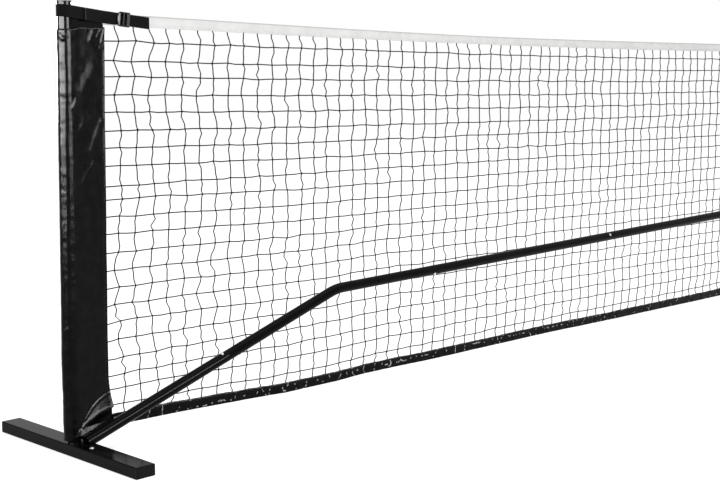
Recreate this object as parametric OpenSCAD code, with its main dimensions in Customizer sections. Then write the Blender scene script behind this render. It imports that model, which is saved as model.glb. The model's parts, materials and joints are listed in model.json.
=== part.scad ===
// Portable pickleball net: a mesh net with white and black edge tapes, held between two
// uprights that stand on the spigots of a sectional tube frame. Millimetres. The origin is
// on the ground under the middle of the net, +X runs along the net, +Y to its back, +Z up.
// "Reach" is a distance from an upright's axis towards the middle of the net.

/* [Net] */
// Distance between the axes of the two uprights
post_span = 6706; // [5500:1:7500]
// Height of the net's top edge at the middle
centre_height = 863.6; // [840:0.1:890]
// Height of the net's top edge over the sideline
sideline_height = 914.4; // [900:0.1:930]
// Distance of the sideline from the middle
sideline_x = 3048; // [2700:1:3300]
// Height of the white top tape
top_tape_h = 24; // [18:0.5:32]
// Height of the black bottom tape
bottom_tape_h = 22; // [16:0.5:30]
// Thickness of the folded tapes and of the sleeve's panel
tape_t = 3; // [2:0.1:4]
// Height of the net's bottom edge in the middle
bottom_centre_z = 17; // [10:0.5:30]
// How much higher the bottom edge hangs towards the uprights
bottom_rise = 12; // [0:0.5:25]
// How far the tied corners lift the bottom edge
corner_lift = 12; // [0:0.5:25]
// Reach at which the corner's lift has died out
corner_reach = 600; // [300:5:900]
// Number of mesh columns drawn between the sleeves
mesh_columns = 48; // [24:2:48]
// Number of mesh rows drawn between the tapes
mesh_rows = 6; // [4:1:6]
// Width of a drawn mesh string
string_w = 3; // [2:0.1:5]
// Thickness of the mesh
mesh_t = 2; // [1:0.1:2.5]

/* [Uprights and sleeves] */
// Outer diameter of an upright
upright_od = 28.6; // [28:0.1:30]
// How far an upright stands above the strap's middle line
upright_stub = 18.4; // [14:0.1:30]
// Height of the cap's flange
cap_h = 3; // [2:0.1:5]
// How far the cap's flange stands out round the tube
cap_lip = 0.7; // [0.3:0.1:1.5]
// Length of the cap's plug
cap_plug = 20; // [10:1:30]
// Height of the sleeve's bottom edge
sleeve_bottom = 30; // [28:0.5:40]
// How far the sleeve's top edge on the upright lies below the strap's middle line
sleeve_drop = 35.6; // [26:0.1:50]
// How much higher the sleeve's top edge is at the net
sleeve_slant = 4; // [0:0.5:8]
// Reach of the sleeve's edge
sleeve_reach = 95; // [80:1:110]
// Reach of the seam that closes the sleeve's pocket
pocket_reach = 84; // [60:1:90]
// How far the sleeve's inner layer goes up behind the strap
strap_tuck = 4; // [2:0.5:8]
// How far that layer goes down inside the pocket
tab_inset = 12; // [2:1:30]
// Thickness of the coated sleeve fabric
sleeve_t = 1.2; // [0.8:0.1:1.4]

/* [Straps] */
// Width of the tension strap
strap_w = 25; // [20:0.5:28]
// Thickness of the webbing
web_t = 1.6; // [1.2:0.1:2]
// How far the strap's middle line lies below the middle of the top tape at its sewn end
strap_sag = 2.9; // [0:0.1:4]
// Downward slope of the strap towards the net
strap_slope = 5.9; // [4:0.1:7]
// Reach of the strap's sewn end
strap_reach = 212; // [190:1:240]
// Reach of the free tail's end
tail_start = 47; // [40:1:60]
// Reach of the buckle's lip
buckle_reach = 126; // [118:1:135]
// Length of the buckle
buckle_l = 34; // [30:0.5:38]
// Width of the buckle across the strap
buckle_w = 31; // [30:0.5:36]
// Thickness of the buckle
buckle_t = 4; // [3:0.1:5]

/* [Feet] */
// Length of a foot with its end caps
foot_l = 495; // [400:1:600]
// Width of the foot tube
foot_w = 48; // [44:1:60]
// Height of the foot tube
foot_h = 25; // [22:0.5:30]
// Wall of the foot tube
foot_wall = 2; // [1.5:0.1:3]
// Corner radius of the foot tube
foot_r = 2.5; // [2.2:0.1:5]
// Thickness of an end cap's flange
foot_cap_t = 2; // [1.5:0.1:4]
// How deep an end cap's plug reaches
foot_cap_plug = 14; // [8:1:25]
// Height of the spigot above the foot
spigot_h = 120; // [100:1:150]
// Offset of the foot bolt along the net
bolt_x = -5; // [-8:0.5:8]
// Distance of the foot bolt in front of the upright
bolt_y = 70; // [60:1:90]
// Length of the backing plate under the foot's top wall
plate_l = 60; // [40:1:90]
// Thickness of the backing plate
plate_t = 3; // [2:0.1:4]

/* [Frame tubes] */
// Outer diameter of the frame tubes
tube_od = 25.4; // [24:0.1:26.4]
// Wall of the frame tubes
tube_wall = 1.2; // [1:0.1:1.5]
// Distance of the frame tubes in front of the net
tube_y = 31; // [31:0.5:40]
// Reach of the arm's lower end on the foot
arm_reach = 9; // [6:0.5:14]
// Steepness of the arm
arm_angle = 18; // [15:0.5:20]
// Reach of the bend between the arm and the long tubes
bend_reach = 746; // [650:1:850]
// Height of the tube's axis at the bend
bend_z = 266.8; // [250:0.5:290]
// Radius of the bend
bend_r = 150; // [80:1:250]
// Rise of the long tubes towards the middle
rise_angle = 1.08; // [0:0.01:1.5]
// Reach of the joint between arm and elbow
joint_a = 395; // [360:1:430]
// Reach of the joint between elbow and outer tube
joint_b = 1088; // [1050:1:1200]
// Reach of the joint between outer and inner tube
joint_c = 1883; // [1800:1:2000]
// Reach of the joint between inner and hub tube
joint_d = 2678; // [2500:1:2800]
// Length of a connector on its snap button's side
connector_free = 58; // [56:1:80]
// Length of a connector on its riveted side
connector_fixed = 60; // [50:1:90]
// Length of the elbow's long connector on its riveted side
connector_long = 228; // [150:1:260]
// Distance of a rivet from the connector's riveted end
rivet_inset = 25; // [15:1:35]
// Wall of the connectors
connector_wall = 1.5; // [1.2:0.1:2]
// Outer diameter of the hub
hub_od = 34; // [32:0.5:35]
// Half length of the hub along the net
hub_half = 46; // [40:1:60]
// Distance from the tube's axis down to the hub's lower end
hub_drop = 50; // [42:1:70]
// Depth of the hub's sockets
socket_depth = 34; // [25:1:38]
// Height of the middle leg's rubber tip
tip_h = 30; // [20:1:45]
// Wall of the rubber tip
tip_wall = 3; // [2:0.1:4]
// Thickness of the rubber tip's sole
tip_sole = 6; // [4:0.5:10]

/* [Snap buttons] */
// Diameter of a snap button
button_d = 8; // [6:0.1:8.5]
// How far a button stands out of its tube
button_out = 3.5; // [2.5:0.1:4]
// Distance of a button from its joint
button_inset = 12; // [10:0.5:14]
// Thickness of the button's flange
button_flange = 1.2; // [0.8:0.1:1.5]

/* [Clearances] */
// Radial clearance of sliding tubes and buttons
slide_gap = 0.05; // [0.02:0.01:0.1]
// Clearance between pieces that must not touch
free_gap = 0.3; // [0.2:0.05:0.5]
// Clearance of a bolt in its hole
bolt_gap = 0.3; // [0.1:0.05:0.5]

/* [Hidden] */
$fn = 96;
SIDES = [-1, 1];
SIDE_NAMES = ["left", "right"];
LETTERS = ["a", "b", "c", "d"];

black_steel = "#161617";
black_plastic = "#1b1b1c";
black_cloth = "#121213";
zinc = "#b9bcc0";
white_tape = "#f1f1f1";

half_span = post_span / 2;
net_half = half_span - sleeve_reach;
eps = 0.01;

upright_r = upright_od / 2;
tube_r = tube_od / 2;
tube_bore = tube_r - tube_wall;
fit_r = tube_r + slide_gap;
connector_r = tube_bore - slide_gap;
connector_bore = connector_r - connector_wall;
button_r = button_d / 2;
flange_r = button_r + 1.5;
flange_top = sqrt(pow(connector_bore, 2) - pow(flange_r, 2)) - 0.1;

bend_turn = arm_angle - rise_angle;
bend_tangent = bend_r * tan(bend_turn / 2);
hub_z = bend_z + (half_span - bend_reach) * tan(rise_angle);

// The four joints of a side: butt line, side of the snap button, its turn from the top
// towards the front, riveted length and turn of the rivet.
joint_reach = [joint_a, joint_b, joint_c, joint_d];
button_side = [-1, 1, 1, 1];
button_turn = [15, 135, 60, 60];
fixed_length = [connector_fixed, connector_long, connector_fixed, connector_fixed];
rivet_turn = [180, 80, 180, 180];

bolt_r = 3;
bolt_head_r = 5.25;
bolt_head_h = 3.2;
nut_af = 10;
nut_h = 5;
screw_r = 2.5;
screw_head_r = 4.2;
screw_head_h = 2.4;
screw_seat = 0.6;
rivet_r = 1.6;
rivet_head_r = 3.2;
rivet_head_h = 1;
rivet_tail_h = 1.4;

strap_inner_r = upright_r + free_gap;
buckle_bar_r = buckle_t / 2;
buckle_hinge_x = buckle_reach + buckle_l - buckle_bar_r;
buckle_y = tape_t / 2 + web_t + free_gap + buckle_bar_r;

eyelet_r = 6.5;
eyelet_hole_r = 3.5;
eyelet_reach = sleeve_reach + 10;

function top_edge(x) =
    centre_height + (sideline_height - centre_height) * pow(x / sideline_x, 2);
// Height of the strap's middle line at a reach
function strap_line(reach) =
    top_edge(half_span - strap_reach) - top_tape_h / 2 - strap_sag
    + (strap_reach - reach) * tan(strap_slope);
function corner_share(reach) =
    max(0, 1 - pow((reach - sleeve_reach) / (corner_reach - sleeve_reach), 2));
function bottom_edge(x) =
    bottom_centre_z + bottom_rise * pow(sin(90 * abs(x) / half_span), 2)
    + (half_span - abs(x) < corner_reach ? corner_lift * corner_share(half_span - abs(x)) : 0);
function column_x(i) = -net_half + 2 * net_half * i / mesh_columns;
function mesh_z(x, share) =
    (1 - share) * (bottom_edge(x) + bottom_tape_h) + share * (top_edge(x) - top_tape_h);
function tube_z(reach) =
    reach < bend_reach ? bend_z - (bend_reach - reach) * tan(arm_angle)
    : bend_z + (reach - bend_reach) * tan(rise_angle);
function tube_slope(reach) = reach < bend_reach ? arm_angle : rise_angle;
// Point where the tangent from (x, y) touches a circle of radius r round the origin
function tangent_point(x, y, r) =
    let (a = atan2(y, x) + acos(r / sqrt(x * x + y * y))) [r * cos(a), r * sin(a)];

strap_z = strap_line(0);
upright_top = strap_z + upright_stub;
sleeve_top = strap_z - sleeve_drop;

// ---- placing ----

// Left-hand pieces are drawn once and mirrored for the right
module on_side(side) {
    mirror([side > 0 ? 1 : 0, 0, 0]) children();
}

module at_post() {
    translate([-half_span, 0, 0]) children();
}

// On the axis of the frame tube, with X along the tube and Z up across it
module at_tube(reach) {
    translate([-half_span + reach, -tube_y, tube_z(reach)])
        rotate([0, -tube_slope(reach), 0]) children();
}

module along_x() {
    rotate([0, 90, 0]) children();
}

module at_strap() {
    translate([-half_span, 0, strap_z]) rotate([0, strap_slope, 0]) children();
}

module pipe(length, r, bore) {
    difference() {
        cylinder(h = length, r = r);
        translate([0, 0, -1]) cylinder(h = length + 2, r = bore);
    }
}

// ---- feet ----

module rounded_rect(w, h, r) {
    square([w - 2 * r, h], center = true);
    square([w, h - 2 * r], center = true);
    for (x = [-1, 1], y = [-1, 1])
        translate([x * (w / 2 - r), y * (h / 2 - r)]) circle(r);
}

module foot_section(grow) {
    rounded_rect(foot_w + 2 * grow, foot_h + 2 * grow, max(0.4, foot_r + grow));
}

module foot_solid(grow, length) {
    translate([0, 0, foot_h / 2]) rotate([90, 0, 0])
        linear_extrude(length, center = true) foot_section(grow);
}

module foot() {
    tube_l = foot_l - 2 * foot_cap_t;
    color(black_steel) at_post() difference() {
        foot_solid(0, tube_l);
        foot_solid(-foot_wall, tube_l + 2);
        translate([0, 0, foot_h / 2]) cylinder(h = foot_h, r = tube_r + bolt_gap);
        translate([bolt_x, -bolt_y, foot_h / 2]) cylinder(h = foot_h, r = bolt_r + bolt_gap);
    }
}

module foot_cap() {
    plug_gap = foot_wall + 0.1;
    translate([0, foot_l / 2, foot_h / 2]) rotate([90, 0, 0]) {
        linear_extrude(foot_cap_t) foot_section(0);
        translate([0, 0, foot_cap_t]) linear_extrude(foot_cap_plug) difference() {
            rounded_rect(foot_w - 2 * plug_gap, foot_h - 2 * plug_gap, 0.4);
            rounded_rect(foot_w - 2 * plug_gap - 4, foot_h - 2 * plug_gap - 4, 0.3);
        }
    }
}

module foot_caps() {
    color(black_plastic) for (side = SIDES) on_side(side) at_post() {
        foot_cap();
        rotate([0, 0, 180]) foot_cap();
    }
}

// Welded on the inside of the bottom wall, it comes up through the top wall
module spigot() {
    color(black_steel) at_post() translate([0, 0, foot_wall])
        pipe(foot_h + spigot_h - foot_wall, tube_r, tube_r - 2 * tube_wall);
}

module backing_plate() {
    plate_w = foot_w - 2 * foot_wall - 2;
    top = foot_h - foot_wall;
    color(zinc) at_post() translate([0, -bolt_y, top - plate_t]) difference() {
        translate([-plate_w / 2, -plate_l / 2, 0]) cube([plate_w, plate_l, plate_t]);
        translate([bolt_x, 0, -1]) cylinder(h = plate_t + 2, r = bolt_r + bolt_gap);
    }
}

module foot_bolt() {
    shank = foot_wall + plate_t + nut_h + 1;
    nut_top = -foot_wall - plate_t;
    rotate_extrude() {
        translate([0, -shank]) square([bolt_r, shank + eps]);
        intersection() {
            translate([0, bolt_head_h - 6.2]) circle(6.2);
            square([bolt_head_r, bolt_head_h]);
        }
    }
    translate([0, 0, nut_top - nut_h]) difference() {
        cylinder(h = nut_h, r = nut_af / sqrt(3), $fn = 6);
        translate([0, 0, -1]) cylinder(h = nut_h + 2, r = bolt_r + slide_gap);
    }
}

module foot_bolts() {
    color(zinc) for (side = SIDES) on_side(side) at_post()
        translate([bolt_x, -bolt_y, foot_h]) foot_bolt();
}

// ---- frame tubes ----

module straight_tube(from, to) {
    at_tube(from) along_x() pipe((to - from) / cos(tube_slope(to)), tube_r, tube_bore);
}

module button_hole(joint, r) {
    at_tube(joint_reach[joint] + button_side[joint] * button_inset)
        rotate([button_turn[joint], 0, 0]) cylinder(h = 2 * tube_r, r = r + slide_gap);
}

module rivet_hole(joint) {
    inset = fixed_length[joint] - rivet_inset;
    at_tube(joint_reach[joint] - button_side[joint] * inset)
        rotate([rivet_turn[joint], 0, 0]) cylinder(h = 2 * tube_r, r = rivet_r);
}

// Coped onto the foot's top and side, where it is welded
module base_arm() {
    start = arm_reach;
    color(black_steel) difference() {
        at_tube(start) along_x()
            pipe((joint_a - start) / cos(arm_angle), tube_r, tube_bore);
        at_post() foot_solid(0, foot_l);
        button_hole(0, button_r);
    }
}

// Two straight lengths that leave the two ends of an arc. They are a little thinner than the
// arc and reach a little way into its wall, so that the three join without a step.
module bent_pipe() {
    lap = 0.8;
    hair = 0.05;
    first = (bend_reach - joint_a) / cos(arm_angle) - bend_tangent - slide_gap;
    last = (joint_b - bend_reach) / cos(rise_angle) - bend_tangent - slide_gap;
    translate([-half_span + bend_reach, -tube_y, bend_z]) rotate([0, -rise_angle, 0])
        translate([bend_tangent, 0, -bend_r]) {
            translate([-lap, 0, bend_r]) along_x()
                pipe(last + lap, tube_r - hair, tube_bore + hair);
            rotate([90, 0, 0]) rotate([0, 0, 90]) rotate_extrude(angle = bend_turn)
                translate([bend_r, 0]) difference() {
                    circle(tube_r);
                    circle(tube_bore);
                }
            rotate([0, -bend_turn, 0]) translate([-first, 0, bend_r]) along_x()
                pipe(first + lap, tube_r - hair, tube_bore + hair);
        }
}

module elbow_tube() {
    color(black_steel) difference() {
        bent_pipe();
        rivet_hole(0);
        rivet_hole(1);
    }
}

module outer_tube() {
    color(black_steel) difference() {
        straight_tube(joint_b, joint_c - slide_gap);
        button_hole(1, button_r);
        rivet_hole(2);
    }
}

module inner_tube() {
    color(black_steel) difference() {
        straight_tube(joint_c, joint_d - slide_gap);
        button_hole(2, button_r);
        rivet_hole(3);
    }
}

module hub_tube() {
    color(black_steel) difference() {
        straight_tube(joint_d, half_span - hub_half + socket_depth);
        button_hole(3, button_r);
    }
}

module connector(joint) {
    toward = button_side[joint];
    fixed = fixed_length[joint];
    start = toward > 0 ? -fixed : -connector_free;
    difference() {
        at_tube(joint_reach[joint]) translate([start, 0, 0]) along_x()
            pipe(fixed + connector_free, connector_r, connector_bore);
        button_hole(joint, button_r);
        rivet_hole(joint);
    }
}

module connectors() {
    color(zinc) for (joint = [0:3]) connector(joint);
}

module connector_rivets() {
    color(black_steel) for (side = SIDES, joint = [0:3]) on_side(side) {
        inset = fixed_length[joint] - rivet_inset;
        at_tube(joint_reach[joint] - button_side[joint] * inset)
            rotate([rivet_turn[joint], 0, 0]) rotate_extrude() {
                translate([0, connector_bore - rivet_tail_h])
                    square([rivet_r, tube_r - connector_bore + rivet_tail_h + 0.2]);
                translate([0, connector_bore - rivet_tail_h - 0.2])
                    square([rivet_r + 0.8, rivet_tail_h]);
                translate([0, tube_r]) square([rivet_head_r, rivet_head_h]);
            }
    }
}

// ---- snap buttons ----

module button(joint) {
    color(zinc) at_tube(joint_reach[joint] + button_side[joint] * button_inset)
        rotate([button_turn[joint], 0, 0]) rotate_extrude() {
            translate([0, flange_top - button_flange]) square([flange_r, button_flange]);
            square_top = tube_r + button_out - button_r;
            translate([0, flange_top - eps])
                square([button_r, square_top - flange_top + 2 * eps]);
            intersection() {
                translate([0, square_top]) circle(button_r);
                translate([0, square_top]) square(button_r);
            }
        }
}

// A leaf bent into a V inside the connector pushes the button's flange outwards
module spring(joint) {
    leaf_w = 9;
    leaf_t = 0.6;
    bend_x = connector_free - button_inset - 6;
    top = flange_top - button_flange - 0.1;
    low = -sqrt(pow(connector_bore, 2) - pow(leaf_w / 2, 2)) + 0.05;
    pad = 6;
    color(zinc) at_tube(joint_reach[joint] + button_side[joint] * button_inset)
        rotate([button_turn[joint], 0, 0]) mirror([button_side[joint] < 0 ? 1 : 0, 0, 0])
        rotate([90, 0, 0]) linear_extrude(leaf_w, center = true) polygon([
            [-pad, top], [pad, top], [bend_x, low + 2.4], [bend_x + 1, low + 1.2],
            [bend_x, low], [-pad, low], [-pad, low + leaf_t], [bend_x - 1, low + leaf_t],
            [bend_x - 1.4, low + 1.8], [pad - 0.2, top - leaf_t], [-pad, top - leaf_t]
        ]);
}

// ---- middle leg ----

module hub() {
    socket_r = fit_r;
    color(black_plastic) difference() {
        union() {
            translate([-hub_half, -tube_y, hub_z]) along_x()
                cylinder(h = 2 * hub_half, r = hub_od / 2);
            translate([0, -tube_y, hub_z - hub_drop]) cylinder(h = hub_drop, r = hub_od / 2);
        }
        for (side = SIDES) on_side(side)
            at_tube(half_span - hub_half) translate([-5, 0, 0]) along_x()
                cylinder(h = socket_depth + 5 + free_gap, r = socket_r);
        translate([0, -tube_y, hub_z - hub_drop - 1])
            cylinder(h = socket_depth + 1 + free_gap, r = socket_r);
        hub_screw_places() {
            cylinder(h = hub_od, r = screw_r);
            translate([0, 0, hub_od / 2 - screw_seat]) cylinder(h = hub_od, r = screw_head_r + slide_gap);
        }
    }
}

module hub_screw_places() {
    depth = socket_depth / 2;
    for (side = SIDES) on_side(side)
        at_tube(half_span - hub_half + depth) rotate([-90, 0, 0]) children();
    translate([0, -tube_y, hub_z - hub_drop + depth]) rotate([-90, 0, 0]) children();
}

module hub_screws() {
    color(zinc) hub_screw_places() rotate_extrude() {
        translate([0, fit_r]) square([screw_r, hub_od / 2 - fit_r + 0.5]);
        translate([0, hub_od / 2 - screw_seat]) square([screw_head_r, screw_head_h]);
    }
}

module centre_leg() {
    top = hub_z - hub_drop + socket_depth;
    color(black_steel) translate([0, -tube_y, tip_sole]) pipe(top - tip_sole, tube_r, tube_bore);
}

module leg_tip() {
    color(black_plastic) translate([0, -tube_y, 0]) difference() {
        cylinder(h = tip_h, r = fit_r + tip_wall);
        translate([0, 0, tip_sole]) cylinder(h = tip_h, r = fit_r);
    }
}

// ---- uprights and sleeves ----

module upright() {
    start = foot_h + free_gap;
    color(black_steel) at_post() translate([0, 0, start])
        pipe(upright_top - start, upright_r, fit_r);
}

module upright_cap() {
    color(black_plastic) at_post() translate([0, 0, upright_top]) {
        cylinder(h = cap_h, r = upright_r + cap_lip);
        translate([0, 0, -cap_plug]) pipe(cap_plug + eps, fit_r - 0.1, fit_r - 2);
    }
}

// A prism round the upright that narrows to a seam at (reach, +-half_t)
module loop_prism(r, reach, half_t, tall) {
    touch = tangent_point(reach, half_t, r - 0.05);
    cylinder(h = tall, r = r);
    linear_extrude(tall)
        polygon([[touch[0], touch[1]], [reach, half_t], [reach, -half_t], [touch[0], -touch[1]]]);
}

// Half of the pocket's outer width at a reach beyond the upright
function sleeve_half(reach) =
    let (touch = tangent_point(pocket_reach, tape_t / 2, upright_r + free_gap + sleeve_t - 0.05))
    reach > pocket_reach ? tape_t / 2
        : tape_t / 2 + (touch[1] - tape_t / 2) * (pocket_reach - reach) / (pocket_reach - touch[0]);

module sleeve() {
    bore = upright_r + free_gap;
    tall = sleeve_top + sleeve_slant - sleeve_bottom;
    slant = atan(sleeve_slant / (sleeve_reach - upright_r));
    half_t = tape_t / 2;
    color(black_cloth) at_post() difference() {
        translate([0, 0, sleeve_bottom]) {
            difference() {
                union() {
                    loop_prism(bore + sleeve_t, pocket_reach, half_t, tall);
                    translate([pocket_reach - 1, -half_t, 0])
                        cube([sleeve_reach - pocket_reach + 1, tape_t, tall]);
                }
                translate([0, 0, -1]) loop_prism(bore, pocket_reach - 3, 0.2, tall + 2);
            }
            corner_fold(0.25, 0.63, 0.014);
            corner_fold(0.55, 0.97, 0.053);
            corner_fold(0.42, 0.82, 0.102);
        }
        translate([upright_r, -upright_od, sleeve_top]) rotate([0, -slant, 0])
            cube([2 * sleeve_reach, 2 * upright_od, upright_od]);
        translate([-upright_od, -upright_od, sleeve_top])
            cube([upright_od + upright_r, 2 * upright_od, upright_od]);
    }
    color(black_cloth) at_post() sleeve_tab();
}

// An inner layer, sewn in at the edge, which goes on up behind the strap
module sleeve_tab() {
    near = upright_r + 2 * free_gap;
    far = sleeve_reach - free_gap;
    flat_xz(tape_t - 2 * free_gap) polygon([
        [near, sleeve_top - tab_inset], [far, sleeve_top - tab_inset],
        [far, strap_line(far) - strap_w / 2 + strap_tuck],
        [near, strap_line(near) - strap_w / 2 + strap_tuck]
    ]);
}

// Where the coated fabric buckles above its tied lower corner. Its ends are shares of the
// sleeve's reach, and rise is a share of the sleeve's height.
module corner_fold(low_share, high_share, rise) {
    tall = sleeve_top - sleeve_bottom;
    fold_r = 1.5 * sleeve_t;
    low = low_share * sleeve_reach;
    high = high_share * sleeve_reach;
    hull() {
        translate([low, -sleeve_half(low), (0.005 + rise / 3) * tall]) sphere(r = fold_r, $fn = 20);
        translate([high, -sleeve_half(high), (0.012 + rise) * tall]) sphere(r = 0.6 * fold_r, $fn = 20);
    }
}

// ---- straps and buckles ----

// Upright walls of webbing, cut to the strap's width by two planes that follow its slope
module strap() {
    half_t = tape_t / 2;
    outer = half_t + web_t;
    outer_r = strap_inner_r + web_t;
    seam = sleeve_reach - 3;
    touch = tangent_point(seam, outer, outer_r);
    tilt = (touch[1] - outer) / (seam - touch[0]);
    tail_y = outer + (seam - tail_start) * tilt;
    tail_end = (buckle_reach - 2) * cos(strap_slope);
    lap = 0.2;
    low = strap_line(strap_reach) - strap_w;
    tall = strap_z + strap_w - low;
    color(black_cloth) at_post() intersection() {
        translate([0, 0, low]) {
            difference() {
                loop_prism(outer_r, seam, outer, tall);
                translate([0, 0, -1]) loop_prism(strap_inner_r, seam + 1, half_t, tall + 2);
            }
            for (y = [-1, 1]) translate([seam - 2, y * (half_t + web_t / 2) - web_t / 2, 0])
                cube([strap_reach - seam + 2, web_t, tall]);
            linear_extrude(tall)
                polygon([[tail_start, -tail_y + lap], [seam, -outer + lap], [tail_end, -outer + lap],
                    [tail_end, -outer - web_t], [seam, -outer - web_t],
                    [tail_start, -tail_y - web_t]]);
        }
        translate([0, 0, strap_z]) rotate([0, strap_slope, 0])
            cube([3 * strap_reach, 3 * upright_od, strap_w], center = true);
    }
}

// A ladder-lock buckle: its lip lifts to let the webbing slip
module buckle() {
    lip = 7;
    slot = 6;
    bar = 4;
    body_l = buckle_l - buckle_bar_r;
    frame_x = buckle_hinge_x - body_l;
    color(black_plastic) at_strap() translate([0, -buckle_y, 0]) {
        rotate([90, 0, 0]) linear_extrude(buckle_t, center = true) difference() {
            union() {
                translate([frame_x + lip, -buckle_w / 2]) square([body_l - lip, buckle_w]);
                intersection() {
                    translate([frame_x + lip, -buckle_w / 2 + 2]) mirror([1, 0])
                        square([lip, buckle_w - 4]);
                    translate([frame_x + buckle_w / 2, 0]) circle(buckle_w / 2);
                }
            }
            for (i = [0:1])
                translate([frame_x + lip + 2 + i * (slot + bar), -buckle_w / 2 + 2.5])
                    square([slot, buckle_w - 5]);
        }
        translate([buckle_hinge_x, 0, -buckle_w / 2]) cylinder(h = buckle_w, r = buckle_bar_r);
    }
}

// ---- net ----

module flat_xz(thickness) {
    rotate([90, 0, 0]) linear_extrude(thickness, center = true) children();
}

module net_mesh() {
    half_w = string_w / 2;
    upper = [for (i = [0:mesh_columns]) [column_x(i), mesh_z(column_x(i), 1)]];
    lower = [for (i = [mesh_columns:-1:0]) [column_x(i), mesh_z(column_x(i), 0)]];
    color(black_cloth) flat_xz(mesh_t) difference() {
        polygon(concat(upper, lower));
        for (i = [0:mesh_columns - 1], row = [0:mesh_rows - 1]) {
            left = column_x(i) + half_w;
            right = column_x(i + 1) - half_w;
            low = row / mesh_rows;
            high = (row + 1) / mesh_rows;
            polygon([
                [left, mesh_z(left, low) + half_w], [right, mesh_z(right, low) + half_w],
                [right, mesh_z(right, high) - half_w], [left, mesh_z(left, high) - half_w]
            ]);
        }
    }
}

module top_tape() {
    upper = [for (i = [0:mesh_columns]) [column_x(i), top_edge(column_x(i))]];
    lower = [for (i = [mesh_columns:-1:0]) [column_x(i), mesh_z(column_x(i), 1)]];
    color(white_tape) flat_xz(tape_t) polygon(concat(upper, lower));
}

module eyelet_places() {
    for (side = SIDES) on_side(side) at_post()
        translate([eyelet_reach, 0, bottom_edge(half_span - eyelet_reach) + bottom_tape_h / 2])
        rotate([90, 0, 0]) children();
}

module bottom_tape() {
    upper = [for (i = [0:mesh_columns]) [column_x(i), mesh_z(column_x(i), 0)]];
    lower = [for (i = [mesh_columns:-1:0]) [column_x(i), bottom_edge(column_x(i))]];
    color(black_cloth) difference() {
        flat_xz(tape_t) polygon(concat(upper, lower));
        eyelet_places() cylinder(h = 2 * tape_t, r = eyelet_hole_r + 1, center = true);
    }
}

module corner_eyelets() {
    color(zinc) eyelet_places() rotate_extrude() {
        translate([eyelet_hole_r, -tape_t / 2 - 0.8]) square([1, tape_t + 1.6]);
        for (y = [-tape_t / 2 - 0.8, tape_t / 2])
            translate([eyelet_hole_r, y]) square([eyelet_r - eyelet_hole_r, 0.8]);
    }
}

// ---- assembly ----

for (i = [0, 1]) {
    on_side(SIDES[i]) {
        foot();
        spigot();
        backing_plate();
        base_arm();
        elbow_tube();
        outer_tube();
        inner_tube();
        hub_tube();
        connectors();
        upright();
        upright_cap();
        sleeve();
        strap();
        buckle();
        for (j = [0:3]) {
            button(j);
            spring(j);
        }
    }
}
foot_caps();
foot_bolts();
connector_rivets();
hub();
hub_screws();
centre_leg();
leg_tip();
net_mesh();
top_tape();
bottom_tape();
corner_eyelets();
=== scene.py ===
import json
import math

import bpy
import numpy as np
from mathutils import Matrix, Vector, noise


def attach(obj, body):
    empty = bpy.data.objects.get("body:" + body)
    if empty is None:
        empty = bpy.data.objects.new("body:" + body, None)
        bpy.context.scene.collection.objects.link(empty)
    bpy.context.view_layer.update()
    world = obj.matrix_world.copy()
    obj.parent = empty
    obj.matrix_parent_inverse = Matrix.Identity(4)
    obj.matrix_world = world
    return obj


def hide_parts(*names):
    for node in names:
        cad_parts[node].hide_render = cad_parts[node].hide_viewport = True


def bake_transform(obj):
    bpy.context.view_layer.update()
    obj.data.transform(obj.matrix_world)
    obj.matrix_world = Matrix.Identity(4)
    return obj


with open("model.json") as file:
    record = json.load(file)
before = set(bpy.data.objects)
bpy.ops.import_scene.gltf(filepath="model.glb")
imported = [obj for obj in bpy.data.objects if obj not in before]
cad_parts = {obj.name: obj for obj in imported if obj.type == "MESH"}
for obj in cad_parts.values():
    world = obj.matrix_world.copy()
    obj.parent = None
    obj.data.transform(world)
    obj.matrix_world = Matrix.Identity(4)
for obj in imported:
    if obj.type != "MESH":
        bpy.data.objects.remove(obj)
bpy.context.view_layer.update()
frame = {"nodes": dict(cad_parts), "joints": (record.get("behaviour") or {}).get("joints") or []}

# Lengths are in millimetres and turn to metres where a mesh is made.
# "Reach" is the distance from an upright's axis towards the middle of the net.
halfSpan = 3353
mm = 0.001


def linear(hexColour):  # sRGB hex to linear RGBA
    parts = [int(hexColour[i:i + 2], 16) / 255 for i in (1, 3, 5)]
    return [c / 12.92 if c <= 0.04045 else ((c + 0.055) / 1.055) ** 2.4 for c in parts] + [1]


def addNode(tree, kind, settings, inputs):  # an input is a value or another node's output
    made = tree.nodes.new(kind)
    for key, value in settings.items():
        setattr(made, key, value)
    for key, value in inputs.items():
        if isinstance(value, bpy.types.NodeSocket):
            tree.links.new(value, made.inputs[key])
        else:
            made.inputs[key].default_value = value
    return made


def startMaterial(name):
    material = bpy.data.materials.new(name)
    material.use_nodes = True
    tree = material.node_tree
    tree.nodes.clear()
    coords = addNode(tree, "ShaderNodeTexCoord", {}, {})
    return material, tree, coords.outputs["Object"]


def finishMaterial(tree, shader):
    addNode(tree, "ShaderNodeOutputMaterial", {}, {"Surface": shader.outputs["BSDF"]})


def colourSpread(tree, factor, dark, light, low=0.35, high=0.65):
    ramp = addNode(tree, "ShaderNodeValToRGB", {}, {"Fac": factor})
    ramp.color_ramp.elements[0].color = linear(dark)
    ramp.color_ramp.elements[1].color = linear(light)
    ramp.color_ramp.elements[0].position = low
    ramp.color_ramp.elements[1].position = high
    return ramp.outputs["Color"]


def valueSpread(tree, factor, low, high):
    spread = addNode(tree, "ShaderNodeMapRange", {},
                     {"Value": factor, "From Min": 0.3, "From Max": 0.7, "To Min": low, "To Max": high})
    return spread.outputs["Result"]


def mixedColour(tree, share, colour, other):  # inputs 6 and 7 are the two colours
    mixed = addNode(tree, "ShaderNodeMix", {"data_type": "RGBA"}, {0: share, 6: colour, 7: linear(other)})
    return mixed.outputs[2]


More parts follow.
